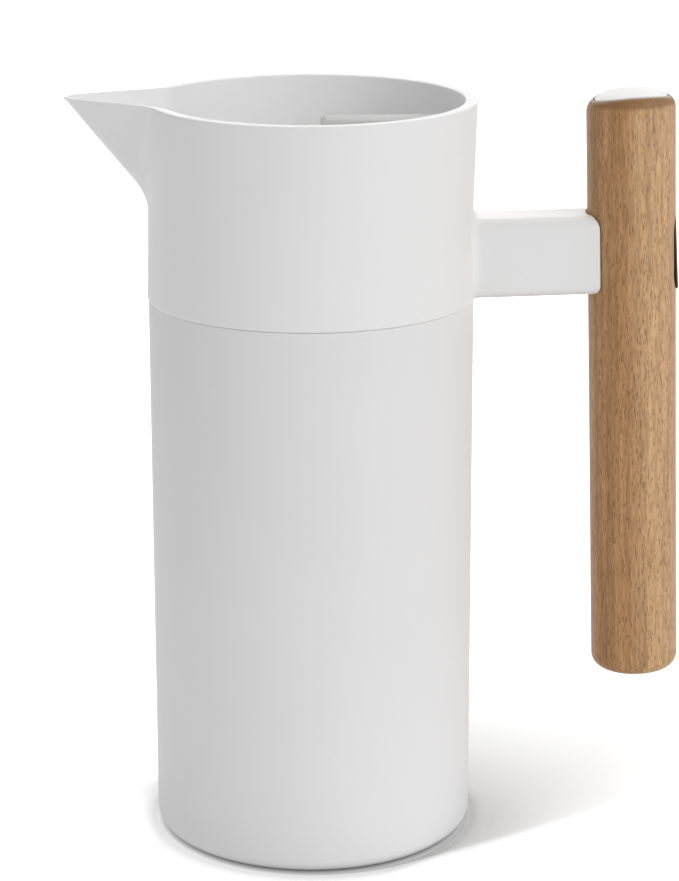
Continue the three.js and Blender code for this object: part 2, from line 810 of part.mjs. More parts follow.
add("wood_grip", woodGrip(), beech(), leaning);
add("grip_cap", gripCap(), whitePlastic(), leaning);
add("thumb_button", thumbButton(), blackPlastic(), leaning);
add("push_rod", alongX(rod(rodRadius, tipSocket + fitGap, rodEnd), 0, rodZ), steel(), leaning);
add("rod_tip", rodTip(), whitePlastic(), leaning);
add("rod_bush", alongX(bush, 0, rodZ), palePlastic(), leaning);
add("button_spring", alongX(buttonCoil, 0, rodZ), steel(), leaning);
["grip_screw_upper", "grip_screw_lower"].forEach((name, i) => {
  const piece = screw(gripDistance + pocketFloor + fitGap, gripScrewLength);
  add(name, alongX(piece, 0, screwHeights[i]), steel(), leaning);
});

// Dish: floor of the mouth with the valve's seat and the way through for the rocker's leg
const housingSides = [1, -1];
const dishRadius = wellRadius - slideGap;
const legHoleHalfWidth = rockerWidth / 2 + fitGap + slideGap;

function stopperDish() {
  const plate = rod(dishRadius, dishBottom, dishTop, bodySides);
  const seat = rod(flowRadius + seatWidth, dishBottom, dishTop + seatHeight, ringSides);
  const below = dishBottom - overshoot;
  const above = dishTop + overshoot;
  const flow = rod(flowRadius, below, above + seatHeight, ringSides);
  const legHole = block(
    [chimneyStart + housingWall, -legHoleHalfWidth, below],
    [chimneyEnd - housingWall, legHoleHalfWidth, above],
  );
  const screwHoles = housingSides.map((side) =>
    rod(screwRadius + fitGap, below, above).translate(housingScrewX, side * housingScrewY, 0),
  );
  const body = joined([plate, seat.translate(valveX, 0, 0)]);
  return cut(body, [flow.translate(valveX, 0, 0), legHole, ...screwHoles]);
}

// Plug: outer wall with a seal groove, narrowing to a neck under the dish
const plugBottom = floorBottom - plugDepth;
const plugWallBottom = plugBottom + plugBaseThickness + fitGap;
const plugTop = dishBottom - fitGap;
const plugShoulder = floorBottom + fitGap;
const sealBottom = lipTop - plugSealOffset;
const sealTop = sealBottom + plugSealHeight;
const sealInner = plugRadius - plugSealDepth;
const neckInner = plugNeckRadius - plugWall;
const plugInner = plugRadius - plugWall;

function stopperPlug() {
  const path = profile([plugRadius, plugWallBottom]);
  path.lineTo(plugRadius, sealBottom - fitGap);
  path.lineTo(sealInner - fitGap, sealBottom - fitGap);
  path.lineTo(sealInner - fitGap, sealTop + fitGap);
  path.lineTo(plugRadius, sealTop + fitGap);
  path.lineTo(plugRadius, plugShoulder);
  path.lineTo(plugNeckRadius, plugShoulder + plugShoulderDrop);
  path.lineTo(plugNeckRadius, plugTop);
  path.lineTo(neckInner, plugTop);
  path.lineTo(neckInner, plugShoulder + plugShoulderDrop - plugWall);
  path.lineTo(plugInner, plugShoulder - plugWall);
  path.lineTo(plugInner, plugWallBottom);
  return turned(path, ringSides);
}

// Lip ring of the plug with a lip at each end
function plugSeal() {
  const lip = mouthRadius - fitGap;
  const third = plugSealHeight / 3;
  const path = profile([sealInner, sealBottom]);
  path.lineTo(plugRadius, sealBottom);
  path.lineTo(lip, sealBottom + third / 2);
  path.lineTo(plugRadius, sealBottom + third);
  path.lineTo(plugRadius, sealTop - third);
  path.lineTo(lip, sealTop - third / 2);
  path.lineTo(plugRadius, sealTop);
  path.lineTo(sealInner, sealTop);
  return turned(path, ringSides);
}

// Bottom of the plug with the flow tube that stands up to the valve's seat
const tubeOuter = flowRadius + flowTubeWall;

function plugBase() {
  const plate = rod(plugRadius, plugBottom, plugBottom + plugBaseThickness, ringSides);
  const tube = rod(tubeOuter, plugBottom, plugTop, ringSides).translate(valveX, 0, 0);
  const flow = rod(flowRadius, plugBottom - overshoot, plugTop + overshoot, ringSides);
  return cut(joined([plate, tube]), [flow.translate(valveX, 0, 0)]);
}

function plugInsulation() {
  const outer = plugInner - fitGap;
  const neck = neckInner - fitGap;
  const shoulder = plugShoulder - plugWall - fitGap;
  const path = profile([0, plugWallBottom]);
  path.lineTo(outer, plugWallBottom);
  path.lineTo(outer, shoulder);
  path.lineTo(neck, shoulder + plugShoulderDrop);
  path.lineTo(neck, plugTop);
  path.lineTo(0, plugTop);
  const tubeWay = rod(tubeOuter + fitGap, plugBottom, plugTop + overshoot, ringSides);
  return cut(solid(turned(path, ringSides)), [tubeWay.translate(valveX, 0, 0)]);
}

add("stopper_dish", stopperDish(), whitePlastic());
const dishSealTop = dishSealBottom + dishSealThickness;
const dishSeal = ring(lowerWellRadius + fitGap, dishRadius, dishSealBottom, dishSealTop, bodySides);
add("dish_seal", dishSeal, silicone());
add("stopper_plug", stopperPlug(), whitePlastic());
add("plug_base", plugBase(), whitePlastic());
add("plug_insulation", plugInsulation(), foam());
add("plug_seal", plugSeal(), silicone());

// Valve: washer and poppet on the seat, with a winged guide below and a stem above
const washerBottom = dishTop + seatHeight + fitGap;
const washerTop = washerBottom + washerThickness;
const poppetBottom = washerTop + fitGap;
const poppetTop = poppetBottom + poppetThickness;
const washerInner = flowRadius - poppetOverlap;
const poppetRadius = washerInner + washerWidth + poppetOverlap;
const cageLegRadius = poppetRadius + cageLegGap;
const noseHeight = pivotHeight + noseRise;
const headBottom = noseHeight + noseRadius + fitGap;
const headTop = headBottom + headHeight;
const cageBottom = dishTop + fitGap;
const cageHubBottom = poppetTop + cageClearance;
const cageTop = cageHubBottom + cageHubHeight;

function valvePoppet() {
  const bossRadius = washerInner - fitGap;
  const bossBottom = poppetBottom - bossDepth;
  const path = profile([0, bossBottom]);
  path.lineTo(bossRadius, bossBottom);
  path.lineTo(bossRadius, poppetBottom);
  path.lineTo(poppetRadius, poppetBottom);
  path.lineTo(poppetRadius, poppetBottom + poppetThickness / 2);
  path.lineTo(stemRadius + valveSpringRadius, poppetTop);
  path.lineTo(stemRadius, poppetTop);
  path.lineTo(stemRadius, headBottom - fitGap);
  path.lineTo(stemEndRadius, headBottom - fitGap);
  path.lineTo(stemEndRadius, headBottom + headHeight / 2);
  path.lineTo(0, headBottom + headHeight / 2);
  const wingReach = flowRadius - slideGap;
  const wingBottom = bossBottom - wingDepth;
  const wingTop = bossBottom + fitGap;
  const half = wingThickness / 2;
  const wings = [
    block([-wingReach, -half, wingBottom], [wingReach, half, wingTop]),
    block([-half, -wingReach, wingBottom], [half, wingReach, wingTop]),
  ];
  const bound = rod(wingReach, wingBottom, wingTop, ringSides);
  const guide = joined(wings).intersect(solid(bound));
  return solid(turned(path, ringSides)).add(guide).translate([valveX, 0, 0]);
}

function stemHead() {
  const path = profile([0, headTop]);
  path.lineTo(0, headBottom + headHeight / 2 + fitGap);
  path.lineTo(stemEndRadius + fitGap, headBottom + headHeight / 2 + fitGap);
  path.lineTo(stemEndRadius + fitGap, headBottom);
  path.lineTo(headRadius, headBottom);
  path.lineTo(headRadius, headTop - headHeight / 3);
  path.lineTo(headRadius - headHeight / 3, headTop);
  return turned(path, smallSides).translate(valveX, 0, 0);
}

// Cage: legs on the dish, spokes and a hub that guides the stem
function valveCage() {
  const hub = rod(cageHubRadius, cageHubBottom, cageTop, ringSides);
  const arms = [];
  for (let leg = 0; leg < cageLegs; leg += 1) {
    const turn = (leg / cageLegs) * 2 * Math.PI;
    const half = cageLegSize / 2;
    const spoke = block([0, -half, cageHubBottom], [cageLegRadius + half, half, cageTop]);
    const post = block([cageLegRadius - half, -half, cageBottom], [cageLegRadius + half, half, cageTop]);
    arms.push(spoke.rotateZ(turn), post.rotateZ(turn));
  }
  const bore = rod(stemRadius + slideGap, cageBottom, cageTop + overshoot, ringSides);
  return cut(joined([hub, ...arms]), [bore]).translate([valveX, 0, 0]);
}

const valveCoil = spring(
  "valve spring",
  valveSpringRadius,
  valveSpringWire,
  poppetTop + fitGap,
  cageHubBottom - fitGap,
  valveSpringTurns,
);

add("valve_cage", valveCage(), palePlastic());
add("valve_poppet", valvePoppet(), palePlastic());
const washer = ring(washerInner, washerInner + washerWidth, washerBottom, washerTop);
add("valve_washer", washer.translate(valveX, 0, 0), silicone());
add("stem_head", stemHead(), palePlastic());
add("valve_spring", valveCoil.translate(valveX, 0, 0), steel());

// Rocker: bell crank with a leg down to the push rod and a forked nose under the stem's head
function rocker() {
  const noseX = valveX - pivotX;
  const legBottom = contactHeight - legTail - pivotHeight;
  const shape = new THREE.Shape();
  shape.moveTo(legOuter - legThickness, legBottom);
  shape.lineTo(legOuter, legBottom);
  shape.lineTo(hubRadius, 0);
  shape.absarc(0, 0, hubRadius, 0, Math.PI / 2);
  shape.lineTo(noseX, noseRise + noseRadius);
  shape.absarc(noseX, noseRise, noseRadius, Math.PI / 2, Math.PI * 1.5);
  shape.lineTo(-rockerHeel, noseRise - noseRadius);
  shape.lineTo(-hubRadius, -hubRadius);
  const body = across(shape, rockerWidth).translate(pivotX, 0, pivotHeight);
  const slot = stemRadius + slideGap;
  const fork = block(
    [valveX - noseRadius - overshoot, -slot, pivotHeight],
    [valveX + forkDepth, slot, pivotHeight + noseRise + 2 * noseRadius],
  );
  const bore = rod(pinRadius + fitGap, -rockerWidth, rockerWidth).rotateX(Math.PI / 2);
  return cut(solid(body), [fork, bore.translate(pivotX, 0, pivotHeight)]);
}

// Housing: chimney over the leg with a hood that reaches over the rocker's arm, open below
function housingOutline(inset, bottom) {
  const start = housingStart + inset;
  const end = chimneyEnd - inset;
  const top = housingTop - inset;
  const hoodBottom = housingTop - housingSkirt;
  const front = chimneyStart + inset;
  const shape = new THREE.Shape();
  shape.moveTo(front, bottom);
  shape.lineTo(end, bottom);
  shape.lineTo(end, top - housingRound);
  shape.absarc(end - housingRound, top - housingRound, housingRound, 0, Math.PI / 2);
  shape.lineTo(start + housingRound, top);
  shape.absarc(start + housingRound, top - housingRound, housingRound, Math.PI / 2, Math.PI);
  shape.lineTo(start, hoodBottom);
  shape.lineTo(front - housingRound, hoodBottom);
  shape.absarc(front - housingRound, hoodBottom - housingRound, housingRound, Math.PI / 2, 0, true);
  return shape;
}

// Cross section of the housing, rounded along its upper edges
function housingSection(bottom) {
  const shape = roundedRectangle(2 * housingHalfWidth, 2 * (housingTop - bottom), housingRound, housingRound);
  const length = chimneyEnd - housingStart;
  return alongX(extruded(shape, length).translate(0, 0, housingStart), 0, bottom);
}

function bridgeHousing() {
  const bottom = dishTop + fitGap;
  const below = bottom - overshoot;
  const bossTop = bottom + housingBossHeight;
  const beside = (piece, side) => piece.translate(housingScrewX, side * housingScrewY, 0);
  const bosses = housingSides.map((side) => beside(rod(screwBossRadius, bottom, bossTop), side));
  const outside = across(housingOutline(0, bottom), 2 * housingHalfWidth);
  const shell = solid(outside).intersect(solid(housingSection(bottom)));
  const innerHalf = housingHalfWidth - housingWall;
  const inside = across(housingOutline(housingWall, below), 2 * innerHalf);
  const hoodBottom = housingTop - housingSkirt;
  const belowHood = block(
    [housingStart + housingWall, -innerHalf, hoodBottom - overshoot],
    [chimneyStart + housingWall, innerHalf, hoodBottom + overshoot],
  );
  const wayHalf = rockerWidth / 2 + slideGap;
  const frontOpening = block(
    [housingStart - overshoot, -wayHalf, hoodBottom - overshoot],
    [housingStart + 2 * housingWall, wayHalf, housingTop - housingWall],
  );
  const armWay = block(
    [chimneyStart - housingRound, -wayHalf, pivotHeight - hubRadius - slideGap],
    [chimneyStart + 2 * housingWall, wayHalf, hoodBottom + overshoot],
  );
  const pinReach = housingHalfWidth + overshoot;
  const pin = rod(pinRadius + fitGap, -pinReach, pinReach).rotateX(Math.PI / 2);
  pin.translate(pivotX, 0, pivotHeight);
  const pilotTop = bossTop - housingWall;
  const pilots = housingSides.map((side) => beside(rod(screwRadius + fitGap, below, pilotTop), side));
  const whole = shell.add(joined(bosses));
  return cut(whole, [inside, belowHood, frontOpening, armWay, pin, ...pilots]);
}

const pinPiece = rod(pinRadius, -housingHalfWidth, housingHalfWidth).rotateX(Math.PI / 2);
const housingScrewLength = dishThickness + 2 * fitGap + housingBossHeight - housingWall - fitGap;

add("rocker", rocker(), palePlastic());
add("rocker_pin", pinPiece.translate(pivotX, 0, pivotHeight), steel());
add("bridge_housing", bridgeHousing(), palePlastic());
["bridge_screw_left", "bridge_screw_right"].forEach((name, i) => {
  const piece = screw(0, housingScrewLength).rotateX(Math.PI);
  const y = housingSides[i] * housingScrewY;
  add(name, piece.translate(housingScrewX, y, dishBottom - fitGap), steel());
});

export default carafe;
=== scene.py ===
import json
import math

import bmesh
import bpy
import numpy as np
from mathutils import Matrix, Vector


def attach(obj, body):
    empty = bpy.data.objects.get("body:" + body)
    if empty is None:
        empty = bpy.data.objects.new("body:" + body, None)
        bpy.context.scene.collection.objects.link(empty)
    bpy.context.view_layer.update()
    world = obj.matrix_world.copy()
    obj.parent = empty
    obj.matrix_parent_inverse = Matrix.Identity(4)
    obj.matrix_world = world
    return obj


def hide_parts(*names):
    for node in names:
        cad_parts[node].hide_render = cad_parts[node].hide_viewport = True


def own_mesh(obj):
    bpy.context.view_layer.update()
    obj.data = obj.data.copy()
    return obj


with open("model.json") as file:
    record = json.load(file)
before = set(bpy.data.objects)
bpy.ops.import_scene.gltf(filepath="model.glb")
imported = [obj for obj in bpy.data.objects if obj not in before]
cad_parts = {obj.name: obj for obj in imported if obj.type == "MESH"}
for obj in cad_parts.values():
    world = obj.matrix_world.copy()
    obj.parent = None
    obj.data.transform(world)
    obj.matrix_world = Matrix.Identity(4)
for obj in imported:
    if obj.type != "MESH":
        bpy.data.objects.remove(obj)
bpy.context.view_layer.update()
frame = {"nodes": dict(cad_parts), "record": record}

MM = 0.001
record = frame["record"]
slot_of = {entry["node"]: entry["material_slot"] for entry in record["subparts"]}
body_of = {node: body for body, nodes in record["behaviour"]["bodies"].items() for node in nodes}

# Sizes in millimetres, the same as those of the solids
BODY_R = 51.9
SHELL_WALL = 0.9
SEAM = 178.0
NECK_INNER = 40.5
NECK_TOP = 182.2
FOOT = 0.5
BASE_ROUND = 4.4
BASE_LIP = 44.8
COLLAR_BOTTOM = 178.3
RIM = 241.3
WAIST_R = 51.6
WAIST_Z = 205.0
FLARE = 0.032
WAIST_SOFT = 6.0
SPOUT_TIP = 77.4
SPOUT_HALF = math.radians(27.6)
SPOUT_NOSE = 6.3
SPOUT_RISE = 0.9
SPOUT_RISE_SPAN = math.radians(30)
SPOUT_WALL = 1.3
KEEL_SLOPE = 0.85
SPOUT_BLEND = 4.4
WELL_R = 48.0
WELL_DRAFT = 0.6
LOWER_WELL_R = 46.2
LEDGE = 203.0
FLOOR_TOP = 186.9
FLOOR_BOTTOM = 184.9
FLOOR_HOLE = 39.2
SKIRT_BORE = 48.9
LEAN = math.radians(1.79)
ARM_Z = 189.53
ARM_W = 19.2
ARM_H = 25.3
ARM_FILLET = 2.6
GRIP_X = 102.18
GRIP_R = 14.03
GRIP_TOP = 48.7
GRIP_BOTTOM = -140.4
GRIP_SLANT = math.tan(math.radians(2.4))
GRIP_CROWN = 1.45
CAP_R = 11.53
CAP_SEAT = 1.35
ROD_Z = -1.2
POCKET_FLOOR = 4.83
BUTTON_L = 24.3
BUTTON_W = 10.8
BUTTON_INNER = 10.23
BUTTON_FACE_R = 14.43
BUTTON_SLOPE = math.tan(math.radians(1.6))

# Edges steeper than this many degrees stay sharp in the shading
SHARP = 34

leaning = Matrix.Translation((0, 0, ARM_Z * MM)) @ Matrix.Rotation(-LEAN, 4, "Y")
grip_frame = leaning @ Matrix.Translation((GRIP_X * MM, 0, 0))


# Shader building

class Shader:
    """The node tree of a material or world, with short calls for its nodes."""

    def __init__(self, owner):
        self.owner = owner
        owner.use_nodes = True
        self.tree = owner.node_tree
        self.tree.nodes.clear()
        self.own_coords = None

    @property
    def coords(self):
        """The piece's own coordinates, in metres."""
        if self.own_coords is None:
            self.own_coords = self.node("ShaderNodeTexCoord").outputs["Object"]
        return self.own_coords

    def node(self, kind, inputs=None, **settings):
        made = self.tree.nodes.new(kind)
        for key, value in settings.items():
            setattr(made, key, value)
        for key, value in (inputs or {}).items():
            if isinstance(value, bpy.types.NodeSocket):
                self.tree.links.new(value, made.inputs[key])
            else:
                made.inputs[key].default_value = value
        return made

    def scaled(self, x, y, z, turn=(0, 0, 0)):
        inputs = {"Vector": self.coords, "Scale": (x, y, z), "Rotation": turn}
        return self.node("ShaderNodeMapping", inputs).outputs["Vector"]

    def along(self):
        """The coordinates one by one, by the names X, Y and Z."""
        return self.node("ShaderNodeSeparateXYZ", {"Vector": self.coords}).outputs

    def noise(self, vector, scale, detail=2.0, rough=0.5, distortion=0.0):
        inputs = {"Vector": vector, "Scale": scale, "Detail": detail, "Roughness": rough,
                  "Distortion": distortion}
        return self.node("ShaderNodeTexNoise", inputs).outputs["Fac"]

    def cells(self, vector, scale=1.0):
        return self.node("ShaderNodeTexVoronoi", {"Vector": vector, "Scale": scale}).outputs

    def spread(self, value, low, high, out_low=0.0, out_high=1.0):
        """Carries the range from low to high over to the range from out_low to out_high."""
        inputs = {"Value": value, "From Min": low, "From Max": high,
                  "To Min": out_low, "To Max": out_high}
        return self.node("ShaderNodeMapRange", inputs).outputs["Result"]

    def math(self, operation, a, b=0.0):
        return self.node("ShaderNodeMath", {0: a, 1: b}, operation=operation).outputs[0]

    def times(self, first, *others):
        for other in others:
            first = self.math("MULTIPLY", first, other)
        return first

    def mix(self, factor, a, b, blend="MIX"):
        inputs = {0: factor, 6: a, 7: b}
        return self.node("ShaderNodeMix", inputs, data_type="RGBA", blend_type=blend).outputs[2]

    def bump(self, height, strength, distance):
        inputs = {"Height": height, "Strength": strength, "Distance": distance}
        return self.node("ShaderNodeBump", inputs).outputs["Normal"]

    def surface(self, inputs):
        shader = self.node("ShaderNodeBsdfPrincipled", inputs)
        self.node("ShaderNodeOutputMaterial", {"Surface": shader.outputs["BSDF"]})
        return self.owner


def colour(r, g, b):
    return (r, g, b, 1.0)


WHITE = colour(1.0, 1.0, 1.0)


def material(name):
    return Shader(bpy.data.materials.new(name))


def moulded(name, light, dark, rough, grain, specular):
    """Coat or plastic: a hardly visible change of tone, a fine orange-peel grain, uneven gloss."""
    s = material(name)
    cloud = s.noise(s.coords, scale=22.0, detail=3.0)
    peel = s.noise(s.coords, scale=grain)
    return s.surface({
        "Base Color": s.mix(s.spread(cloud, 0.35, 0.65), colour(*dark), colour(*light)),
        "Roughness": s.spread(cloud, 0.3, 0.7, rough - 0.03, rough + 0.04),
        "Specular IOR Level": specular,
        "Normal": s.bump(peel, strength=0.08, distance=0.00006),
    })


# Painted shade: the handle's tone runs from the shaded side's colour on its -X side to the lighter side's
# colour on its +X side
WOOD_SHADED_SIDE = colour(0.46, 0.254, 0.114)
WOOD_LIT_SIDE = colour(0.625, 0.404, 0.225)
WOOD_SIDE = colour(0.475, 0.29, 0.153)
WOOD_PORE = colour(0.13, 0.055, 0.02)
WOOD_RAY = colour(0.30, 0.155, 0.08)
WOOD_END = colour(0.23, 0.112, 0.04)
SIDE_SHADE_PER_M = 52.0
PORES_PER_M = (3200, 3200, 370)
PORE_TURN = (0.02, 0.01, 0)
PORE_SHARE = 0.72
RAYS_PER_M = (900, 2300, 1000)
RAY_SHARE = 0.42
BAND_TURN = (0, 0.03, 0)


def beech():
    """Oiled beech along the piece's own Z: painted shade from a darker -X side to a lighter +X side, slow
    bands, a middle tone near both flanks, fine stripes, dark pores and small ray marks.
    """
    s = material("beech")
    along = s.along()
    slow = s.noise(s.scaled(1, 1, 0.06), scale=75.0, detail=3.0, distortion=0.4)
    # Painted shade, with slow random bands in it: darker towards -X and lighter towards +X
    ring = s.math("ADD", s.times(along["X"], SIDE_SHADE_PER_M), slow)
    tone = s.mix(s.spread(ring, 0.24, 0.80), WOOD_SHADED_SIDE, WOOD_LIT_SIDE)
    side = s.spread(s.math("ABSOLUTE", along["X"]), 0.0075, 0.0138, 0.0, 0.42)
    tone = s.mix(side, tone, WOOD_SIDE)

    stripe = s.noise(s.scaled(1, 1, 0.03), scale=640.0, detail=5.0, rough=0.74)
    streak = s.noise(s.scaled(1, 1, 0.1), scale=1500.0, rough=0.6, distortion=0.3)
    band = s.noise(s.scaled(1, 1, 0.035, BAND_TURN), scale=260.0, rough=0.55)
    layers = (
        (s.spread(stripe, 0.30, 0.70), (0.80, 0.765, 0.70), (1.10, 1.095, 1.085)),
        (s.spread(streak, 0.33, 0.63), (0.77, 0.73, 0.66), (1.09, 1.105, 1.14)),
        (s.spread(band, 0.32, 0.66), (0.84, 0.81, 0.76), (1.10, 1.105, 1.11)),
    )
    for share, dark, light in layers:
        tone = s.mix(1.0, tone, s.mix(share, colour(*dark), colour(*light)), "MULTIPLY")

    wander = s.noise(s.scaled(1, 1, 0.15), scale=60.0)
    shifted = {0: s.scaled(*PORES_PER_M, PORE_TURN), 1: wander}
    pores = s.cells(s.node("ShaderNodeVectorMath", shifted, operation="ADD").outputs[0])
    chance = s.node("ShaderNodeSeparateColor", {"Color": pores["Color"]}).outputs[0]
    reach = s.spread(chance, 0.25, 1.0, 0.08, 0.52)
    pore = s.spread(s.math("SUBTRACT", reach, pores["Distance"]), 0.0, 0.12)
    tone = s.mix(s.times(pore, PORE_SHARE), tone, WOOD_PORE)

    mark = s.spread(s.cells(s.scaled(*RAYS_PER_M))["Distance"], 0.34, 0.18)
    ray = s.times(mark, s.spread(along["X"], 0.006, 0.012), RAY_SHARE)
    tone = s.mix(ray, tone, WOOD_RAY)
    tone = s.mix(s.spread(along["Z"], 0.0464, 0.0476, 0.0, 0.8), tone, WOOD_END)
    height = s.math("SUBTRACT", s.times(stripe, 0.4), pore)
    return s.surface({
        "Base Color": tone,
        "Roughness": s.spread(stripe, 0.3, 0.7, 0.5, 0.62),
        "Specular IOR Level": 0.35,
        "Normal": s.bump(height, strength=0.25, distance=0.00010),
    })


def brushed_steel():
    s = material("steel")
    lines = s.noise(s.scaled(40, 40, 1800), scale=1.0, detail=3.0)
    dark, light = colour(0.50, 0.51, 0.52), colour(0.66, 0.67, 0.68)
    return s.surface({
        "Base Color": s.mix(s.spread(lines, 0.3, 0.7), dark, light),
        "Metallic": 1.0,
        "Roughness": s.spread(lines, 0.3, 0.7, 0.24, 0.36),
        "Normal": s.bump(lines, strength=0.05, distance=0.00003),
    })


def rubber(name, light, dark):
    s = material(name)
    cloud = s.noise(s.coords, scale=260.0, detail=4.0)
    grain = s.noise(s.coords, scale=2600.0)
    return s.surface({
        "Base Color": s.mix(cloud, colour(*dark), colour(*light)),
        "Roughness": s.spread(cloud, 0.3, 0.7, 0.62, 0.78),
        "Specular IOR Level": 0.3,
        "Normal": s.bump(grain, strength=0.15, distance=0.00005),
    })


def foamed():
    s = material("foam")
    bubbles = s.cells(s.coords, scale=900.0)["Distance"]
    dark, light = colour(0.60, 0.54, 0.42), colour(0.80, 0.75, 0.62)
    return s.surface({
        "Base Color": s.mix(s.spread(bubbles, 0.1, 0.8), dark, light),
        "Roughness": 0.9,
        "Normal": s.bump(bubbles, strength=0.4, distance=0.0003),
    })


# Name, light tone, dark tone, roughness, grain and specular level
MOULDINGS = (
    ("white_coat", (0.825, 0.82, 0.822), (0.81, 0.805, 0.807), 0.6, 1500.0, 0.15),
    ("white_plastic", (0.872, 0.868, 0.868), (0.856, 0.852, 0.852), 0.55, 1900.0, 0.18),
    # pale_plastic is set to a mid grey, well below the white plastic, so that the housing deep in the
    # mouth shows darker
    ("pale_plastic", (0.56, 0.557, 0.552), (0.54, 0.537, 0.532), 0.65, 1900.0, 0.1),
    ("black_plastic", (0.007, 0.006, 0.006), (0.004, 0.004, 0.004), 0.45, 1700.0, 0.06),
    ("cap_plastic", (0.715, 0.704, 0.692), (0.70, 0.689, 0.677), 0.5, 1900.0, 0.18),
)
# Name, light tone and dark tone
RUBBERS = (
    ("silicone", (0.40, 0.415, 0.42), (0.33, 0.345, 0.35)),
    ("dark_silicone", (0.035, 0.035, 0.037), (0.02, 0.02, 0.021)),
)
finish = {row[0]: moulded(*row) for row in MOULDINGS}
finish.update({row[0]: rubber(*row) for row in RUBBERS})
finish.update({"beech": beech(), "steel": brushed_steel(), "foam": foamed()})


# Mesh building

def placed(name, data):
    made = bpy.data.objects.new(name, data)
    bpy.context.scene.collection.objects.link(made)
    return made


def smooth(mesh, sharp=SHARP):
    mesh.shade_smooth()
    mesh.set_sharp_from_angle(angle=math.radians(sharp))


def mesh_object(name, points, faces, matrix=None, sharp=SHARP):
    """A smooth mesh from points in millimetres."""
    mesh = bpy.data.meshes.new(name)
    mesh.from_pydata([tuple(float(v) * MM for v in p) for p in points], [], faces)
    mesh.update()
    smooth(mesh, sharp)
    made = placed(name, mesh)
    if matrix is not None:
        made.matrix_world = matrix
    return made


def stands_for(made, node, look=None):
    """The piece moves with the node's body and takes its place, and its finish unless a look is named."""
    slot = slot_of[node]
    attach(made, body_of[node])
    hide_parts(node)
    made.data.materials.clear()
    made.data.materials.append(finish[look or slot])
    return made


def skin(name, rings, loop=False, closed=True, matrix=None, sharp=SHARP):
    """A mesh through rings of equally many points.

    With loop the last ring joins the first, otherwise closed puts a face on both ends.
    """
    count = len(rings[0])
    levels = len(rings)
    faces = []
    for i in range(levels if loop else levels - 1):
        low, high = i * count, (i + 1) % levels * count
        for j in range(count):
            k = (j + 1) % count
            faces.append((low + j, low + k, high + k, high + j))
    if closed and not loop:
        faces.append(tuple(reversed(range(count))))
        faces.append(tuple(range((levels - 1) * count, levels * count)))
    points = [p for ring in rings for p in ring]
    return mesh_object(name, points, faces, matrix, sharp)


def quarter(steps):
    """The angles of a quarter turn in equal steps."""
    return [step / steps * math.pi / 2 for step in range(steps + 1)]


def rounded(corners, steps):
    """A closed outline whose corners (a, b, radius) are turned into arcs."""
    points = []
    total = len(corners)
    for i, (a, b, radius) in enumerate(corners):
        here = Vector((a, b))
        back = (Vector(corners[i - 1][:2]) - here).normalized()
        ahead = (Vector(corners[(i + 1) % total][:2]) - here).normalized()
        if radius <= 0:
            points.append((a, b))
            continue
        half = back.angle(ahead) / 2
        reach = radius / math.tan(half)
        middle = here + (back + ahead).normalized() * (radius / math.sin(half))
        start = here + back * reach - middle
        end = here + ahead * reach - middle
        turn = start.angle_signed(end)
        for step in range(steps + 1):
            angle = -turn * step / steps
            c, s = math.cos(angle), math.sin(angle)
            x, y = c * start.x - s * start.y, s * start.x + c * start.y
            points.append((middle.x + x, middle.y + y))
    return points


def full_turn(sides):
    return np.linspace(0, 2 * math.pi, sides, endpoint=False)


def turned(name, profile, sides=256, loop=True, matrix=None, slant=None):
    """A turned piece from radii and heights; slant(x, z) lifts points of a slanting end."""
    rings = []
    for radius, height in profile:
        ring = []
        for angle in full_turn(sides):
            x, y = radius * math.cos(angle), radius * math.sin(angle)
            ring.append((x, y, height + (slant(x, height) if slant else 0)))
        rings.append(ring)
    return skin(name, rings, loop, matrix=matrix)


def cut(target, cutters):
    """Takes the cutters' forms out of the target's mesh for good."""
    for cutter in cutters:
        step = target.modifiers.new("cut", "BOOLEAN")
        step.operation = "DIFFERENCE"
        step.solver = "EXACT"
        step.object = cutter
        bpy.context.view_layer.update()
        depsgraph = bpy.context.evaluated_depsgraph_get()
        result = bpy.data.meshes.new_from_object(target.evaluated_get(depsgraph))
        target.modifiers.clear()
        target.data = result
        bpy.data.objects.remove(cutter)
    smooth(target.data)
    return target


def rod_cutter(radius, start, end, matrix):
    """A round bar along X at the push rod's height."""
    rings = []
    for x in (start, end):
        rings.append([(x, radius * math.cos(a), ROD_Z + radius * math.sin(a)) for a in full_turn(32)])
    return skin("cutter", rings, matrix=matrix)


MERGE_DISTANCE = 2e-6
FLAT_ANGLE = math.radians(0.6)
BEVEL_ANGLE = math.radians(40)


def refined(node, bevel, segments):
    """The node's own form with merged faces, softened edges and smooth shading."""
    work = bmesh.new()
    work.from_mesh(frame["nodes"][node].data)
    bmesh.ops.remove_doubles(work, verts=work.verts, dist=MERGE_DISTANCE)
    bmesh.ops.dissolve_limit(work, angle_limit=FLAT_ANGLE, verts=work.verts, edges=work.edges)
    mesh = bpy.data.meshes.new(node + "_soft")
    work.to_mesh(mesh)
    work.free()
    smooth(mesh)
    made = placed(node + "_soft", mesh)
    soft = made.modifiers.new("edges", "BEVEL")
    soft.width = bevel * MM
    soft.segments = segments
    soft.limit_method = "ANGLE"
    soft.angle_limit = BEVEL_ANGLE
    soft.harden_normals = True
    return stands_for(made, node)


# Body

# The shoulder's edge is a little higher than in the solids, so that the seam shows as a fine line
SHOULDER_EDGE = 178.2
inner_r = BODY_R - SHELL_WALL
inner_foot = FOOT + SHELL_WALL
under_shoulder = SEAM - SHELL_WALL
neck_outer = NECK_INNER + SHELL_WALL

